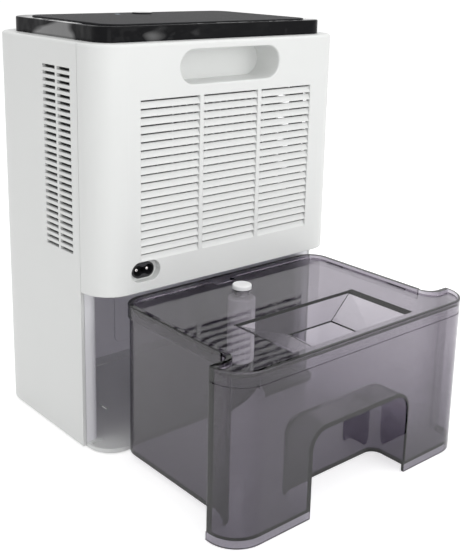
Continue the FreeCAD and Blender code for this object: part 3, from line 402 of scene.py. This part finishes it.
def moulded(name, colour, rough, grain, depth, drift=0.03, edge_radius=0.0005, edge_highlight=0.0, clear_coat=0.0,
            shine=0.5):
    """Moulded plastic: drifting colour, grained roughness and bump, and round edges with a painted highlight in a
    lighter colour.
    """
    material, tree, shader, place = start_material(name)
    tone = place_group(tree, TONE_DRIFT, Vector=place, Colour=(*colour, 1.0), Amount=drift)
    edges = place_group(tree, SOFT_EDGES, Radius=edge_radius)
    # Painted highlight: along the edges the colour is mixed towards a lighter copy of itself.
    mix = tree.nodes.new("ShaderNodeMix")
    mix.data_type = "RGBA"
    mix.inputs["B"].default_value = (*[min(1.0, c * 1.6 + 0.03) for c in colour], 1.0)
    tree.links.new(math_node(tree, "MULTIPLY", edges.outputs["Edge"], edge_highlight), mix.inputs["Factor"])
    tree.links.new(tone.outputs["Colour"], mix.inputs["A"])
    tree.links.new(mix.outputs["Result"], shader.inputs["Base Color"])
    skin = place_group(tree, MOULD_GRAIN, Vector=place, Scale=grain, Low=rough[0], High=rough[1])
    tree.links.new(skin.outputs["Roughness"], shader.inputs["Roughness"])
    shader.inputs["Coat Weight"].default_value = clear_coat
    shader.inputs["Specular IOR Level"].default_value = shine
    set_bump(tree, shader, skin.outputs["Height"], depth, edges.outputs["Normal"])
    return material


print("material helpers ready")

# %% [markdown]
# ### White casing plastic
#
# The casing is a pale, very slightly warm ABS with a satin, finely etched face. The inside of the tank's
# bay is the same plastic, left matter, because nobody polishes that side of a mould. Its colour is painted
# light: lighter and a little bluer than the casing's, so that the bay, which stands in shade, reads brighter.

# %% White plastics
FINISH = {}
FINISH["white_abs"] = moulded("white_abs", (0.78, 0.79, 0.78), (0.34, 0.46), 2600.0, 0.00002, 0.02, 0.0007, 0.1)
# Painted light: the liner has a lighter, bluer colour than the casing, to brighten the shaded bay.
FINISH["liner_abs"] = moulded("liner_abs", (0.90, 0.90, 0.93), (0.42, 0.55), 1800.0, 0.00003, 0.03, 0.0008, 0.1)
print(sorted(FINISH))

# %% [markdown]
# ### Black lid and dark panel
#
# The lid's rim is polished black plastic. Polished mouldings are never quite flat, so their reflections
# swim: a second, slow noise in the bump does that. The panel on top is the same black, etched to a fine
# matt grain that reads as dark grey under a soft light.

# %% Black plastics
POLISH_SCALE = (15.0, 15.0, 45.0)
POLISH_FROM = 0.58
POLISH_TO = 0.66


def gloss_black():
    """Polished black with a slow waviness, and patches of higher polish laid over it as a thin coat."""
    material, tree, shader, place = start_material("gloss_black")
    tone = place_group(tree, TONE_DRIFT, Vector=place, Colour=(0.008, 0.008, 0.009, 1.0), Amount=0.25, Scale=18.0)
    tree.links.new(tone.outputs["Colour"], shader.inputs["Base Color"])
    shader.inputs["Specular IOR Level"].default_value = 0.06
    shader.inputs["Coat Roughness"].default_value = 0.05
    shader.inputs["Coat IOR"].default_value = 2.1
    long_way = tree.nodes.new("ShaderNodeMapping")
    long_way.inputs["Scale"].default_value = POLISH_SCALE
    tree.links.new(place, long_way.inputs["Vector"])
    patch = tree.nodes.new("ShaderNodeMapRange")
    patch.inputs["From Min"].default_value = POLISH_FROM
    patch.inputs["From Max"].default_value = POLISH_TO
    tree.links.new(noise_node(tree, long_way.outputs["Vector"], 1.0), patch.inputs["Value"])
    tree.links.new(patch.outputs[0], shader.inputs["Coat Weight"])
    skin = place_group(tree, MOULD_GRAIN, Vector=place, Scale=22.0, Low=0.03, High=0.10)
    tree.links.new(skin.outputs["Roughness"], shader.inputs["Roughness"])
    edges = place_group(tree, SOFT_EDGES, Radius=0.0008)
    set_bump(tree, shader, skin.outputs["Height"], 0.004, edges.outputs["Normal"])
    return material


FINISH["gloss_black"] = gloss_black()
FINISH["dark_panel"] = moulded("dark_panel", (0.018, 0.018, 0.02), (0.46, 0.6), 3200.0, 0.00004, 0.06, 0.0005, 0.15,
                               shine=0.06)
FINISH["black_plastic"] = moulded("black_plastic", (0.018, 0.018, 0.02), (0.38, 0.55), 2200.0, 0.00003, 0.1, 0.0003, 0.2)
print(sorted(FINISH))

# %% [markdown]
# ### Smoke-clear tank
#
# The tank is clear styrene with a little violet-grey dye. Painting it grey and half transparent would
# make every wall look the same. Real dyed plastic darkens with the length of the way through it: a wall
# seen face on is light, and the same wall seen edge on is almost black. So the surface is clear glass, and
# a volume that absorbs light fills the wall.

# %% Clear plastics
SMOKE_PASS = (0.93, 0.93, 0.93, 1.0)
# Heights in metres, and the surface colours there: the tank's colour is darker towards the bottom.
BOTTOM_TINT = (0.010, (0.56, 0.55, 0.59, 1.0))
TOP_TINT = (0.085, (1.0, 1.0, 1.0, 1.0))


def let_lamps_through(tree, shader, colour):
    """Rays that look for a lamp pass straight through the surface, tinted by colour, so that light reaches inside."""
    path = tree.nodes.new("ShaderNodeLightPath")
    clear = tree.nodes.new("ShaderNodeBsdfTransparent")
    clear.inputs["Color"].default_value = colour
    either = tree.nodes.new("ShaderNodeMixShader")
    tree.links.new(path.outputs["Is Shadow Ray"], either.inputs[0])
    tree.links.new(shader.outputs[0], either.inputs[1])
    tree.links.new(clear.outputs[0], either.inputs[2])
    tree.links.new(either.outputs[0], tree.nodes["Material Output"].inputs["Surface"])


def smoke_clear():
    """Clear surface with a trace of ripple, its colour darker towards the bottom of the walls, filled with dye."""
    material, tree, shader, place = start_material("smoke_clear")
    axes = tree.nodes.new("ShaderNodeSeparateXYZ")
    tree.links.new(place, axes.inputs[0])
    rise = tree.nodes.new("ShaderNodeMapRange")
    rise.inputs["From Min"].default_value = BOTTOM_TINT[0]
    rise.inputs["From Max"].default_value = TOP_TINT[0]
    tree.links.new(axes.outputs["Z"], rise.inputs["Value"])
    # The colour runs from the darker tint low on the walls to clear white higher up.
    depth = tree.nodes.new("ShaderNodeMix")
    depth.data_type = "RGBA"
    tree.links.new(rise.outputs[0], depth.inputs["Factor"])
    for label, (_, tint) in (("A", BOTTOM_TINT), ("B", TOP_TINT)):
        next(i for i in depth.inputs if i.name == label and i.type == "RGBA").default_value = tint
    tree.links.new(next(o for o in depth.outputs if o.type == "RGBA"), shader.inputs["Base Color"])
    shader.inputs["Transmission Weight"].default_value = 1.0
    shader.inputs["IOR"].default_value = 1.5
    skin = place_group(tree, MOULD_GRAIN, Vector=place, Scale=30.0, Low=0.0, High=0.05)
    tree.links.new(skin.outputs["Roughness"], shader.inputs["Roughness"])
    set_bump(tree, shader, skin.outputs["Height"], 0.0001)
    let_lamps_through(tree, shader, SMOKE_PASS)
    dye = tree.nodes.new("ShaderNodeVolumeAbsorption")
    dye.inputs["Color"].default_value = (0.43, 0.39, 0.46, 1.0)
    dye.inputs["Density"].default_value = 500.0
    tree.links.new(dye.outputs["Volume"], tree.nodes["Material Output"].inputs["Volume"])
    return material


def clear_glass():
    """Plain clear glass for the small sealed capsule."""
    material, tree, shader, place = start_material("glass_capsule")
    shader.inputs["Transmission Weight"].default_value = 1.0
    shader.inputs["IOR"].default_value = 1.47
    tone = place_group(tree, TONE_DRIFT, Vector=place, Colour=(0.86, 0.94, 0.88, 1.0), Scale=200.0)
    tree.links.new(tone.outputs["Colour"], shader.inputs["Base Color"])
    skin = place_group(tree, MOULD_GRAIN, Vector=place, Scale=400.0, Low=0.0, High=0.08)
    tree.links.new(skin.outputs["Roughness"], shader.inputs["Roughness"])
    return material


FINISH["smoke_clear"] = smoke_clear()
FINISH["glass_capsule"] = clear_glass()
FINISH["lamp_guide"] = moulded("lamp_guide", (0.42, 0.62, 0.80), (0.12, 0.2), 900.0, 0.00001, 0.05, 0.0002, 0.3)
print(sorted(FINISH))

# %% [markdown]
# ### The float, the feet and the small mouldings
#
# The float is smooth white foam plastic, the feet are soft rubber with a coarse, dull skin, the boards'
# connectors are natural nylon, and the gasket is closed-cell foam, whose skin is pitted.

# %% Small mouldings
FINISH["float_white"] = moulded("float_white", (0.90, 0.90, 0.90), (0.30, 0.38), 1400.0, 0.00002, 0.02, 0.0005, 0.1)
FINISH["rubber_foot"] = moulded("rubber_foot", (0.10, 0.10, 0.10), (0.70, 0.88), 1500.0, 0.00008, 0.12, 0.0004, 0.2)
FINISH["foam"] = moulded("foam", (0.12, 0.12, 0.125), (0.85, 0.95), 900.0, 0.0003, 0.2, 0.0005, 0.1)
FINISH["connector_white"] = moulded("connector_white", (0.74, 0.70, 0.60), (0.35, 0.5), 1800.0, 0.00002, 0.05, 0.0003, 0.1)
FINISH["can_sleeve"] = moulded("can_sleeve", (0.02, 0.025, 0.06), (0.18, 0.3), 500.0, 0.00004, 0.1, 0.0004, 0.2, 0.3)
FINISH["module_ceramic"] = moulded("module_ceramic", (0.82, 0.82, 0.79), (0.5, 0.7), 2400.0, 0.00002, 0.03, 0.0002, 0.05)
FINISH["coil_tape"] = moulded("coil_tape", (0.60, 0.42, 0.06), (0.2, 0.34), 300.0, 0.00005, 0.12, 0.0003, 0.1, 0.4)
print(sorted(FINISH))

# %% [markdown]
# ### Metals
#
# A metal's colour is the colour of its reflection, so Metallic is 1 and the drawn lines move its roughness.
# Ferrite and the magnet are fired ceramics of iron, dark and grainy rather than shiny, so they are not
# metals to the shader.

# %% Metals
def drawn_metal(name, colour, rough, stretch, depth=0.00001):
    """Bare metal with streaks along one axis in its roughness and its bump, and a slow drift in its tone."""
    material, tree, shader, place = start_material(name)
    shader.inputs["Metallic"].default_value = 1.0
    lines = place_group(tree, DRAWN_LINES, Vector=place, Stretch=stretch, Low=rough[0], High=rough[1])
    tone = place_group(tree, TONE_DRIFT, Vector=place, Colour=(*colour, 1.0), Scale=60.0, Amount=0.06)
    tree.links.new(tone.outputs["Colour"], shader.inputs["Base Color"])
    tree.links.new(lines.outputs["Roughness"], shader.inputs["Roughness"])
    edges = place_group(tree, SOFT_EDGES, Radius=0.0002)
    set_bump(tree, shader, lines.outputs["Streak"], depth, edges.outputs["Normal"])
    return material


FINISH["aluminium"] = drawn_metal("aluminium", (0.78, 0.79, 0.80), (0.28, 0.42), (3000.0, 3000.0, 80.0))
FINISH["steel"] = drawn_metal("steel", (0.62, 0.62, 0.64), (0.22, 0.4), (1500.0, 200.0, 1500.0))
FINISH["nickel"] = drawn_metal("nickel", (0.78, 0.76, 0.72), (0.12, 0.2), (1500.0, 100.0, 1500.0))
FINISH["copper"] = drawn_metal("copper", (0.80, 0.36, 0.18), (0.2, 0.34), (900.0, 900.0, 4000.0), 0.00005)
FINISH["bronze"] = drawn_metal("bronze", (0.62, 0.44, 0.22), (0.35, 0.5), (2000.0, 2000.0, 2000.0))
FINISH["ferrite"] = moulded("ferrite", (0.06, 0.06, 0.065), (0.45, 0.62), 1800.0, 0.00005, 0.15, 0.0003, 0.3)
FINISH["magnet"] = moulded("magnet", (0.10, 0.10, 0.105), (0.4, 0.55), 1500.0, 0.00004, 0.15, 0.0003, 0.3)
print(sorted(FINISH))

# %% [markdown]
# ### Circuit board
#
# The board is glass fibre under green lacquer, with copper tracks that show through as lighter green
# lines. Straight tracks on a grid come from a brick pattern of very flat mortar, much easier than drawing
# each one, and its lines also raise the lacquer a little.

# %% Circuit board
def board_green():
    """Green lacquer, lighter and slightly raised over tracks that run on a grid."""
    material, tree, shader, place = start_material("board_green")
    flat = tree.nodes.new("ShaderNodeMapping")
    flat.inputs["Rotation"].default_value = (math.radians(90), 0, 0)
    tree.links.new(place, flat.inputs["Vector"])
    tracks = tree.nodes.new("ShaderNodeTexBrick")
    tracks.inputs["Scale"].default_value = 120.0
    tracks.inputs["Mortar Size"].default_value = 0.035
    tracks.inputs["Color1"].default_value = (0.012, 0.085, 0.03, 1.0)
    tracks.inputs["Color2"].default_value = (0.016, 0.105, 0.038, 1.0)
    tracks.inputs["Mortar"].default_value = (0.05, 0.24, 0.09, 1.0)
    tree.links.new(flat.outputs["Vector"], tracks.inputs["Vector"])
    tone = place_group(tree, TONE_DRIFT, Vector=place, Colour=tracks.outputs["Color"], Scale=40.0, Amount=0.1)
    tree.links.new(tone.outputs["Colour"], shader.inputs["Base Color"])
    skin = place_group(tree, MOULD_GRAIN, Vector=place, Scale=900.0, Low=0.22, High=0.36)
    tree.links.new(skin.outputs["Roughness"], shader.inputs["Roughness"])
    set_bump(tree, shader, tracks.outputs["Fac"], 0.00004)
    return material


FINISH["board_green"] = board_green()
print(len(FINISH), "finishes")

# %% [markdown]
# ## Dress the solid pieces
#
# The record says which finish each solid piece has, so one loop dresses them all, and a piece without a
# finish stops the script instead of staying grey. Curved faces are shaded smooth and flat ones stay flat,
# because the solid pieces already carry their true normals.

# %% Give each solid piece its finish
for part in frame["record"]["subparts"]:
    mesh = NODES[part["node"]].data
    mesh.materials.clear()
    mesh.materials.append(FINISH[part["material_slot"]])

# %% [markdown]
# ## Keep the sizes
#
# The looks do not change the machine's size.

# %% Import json
import json
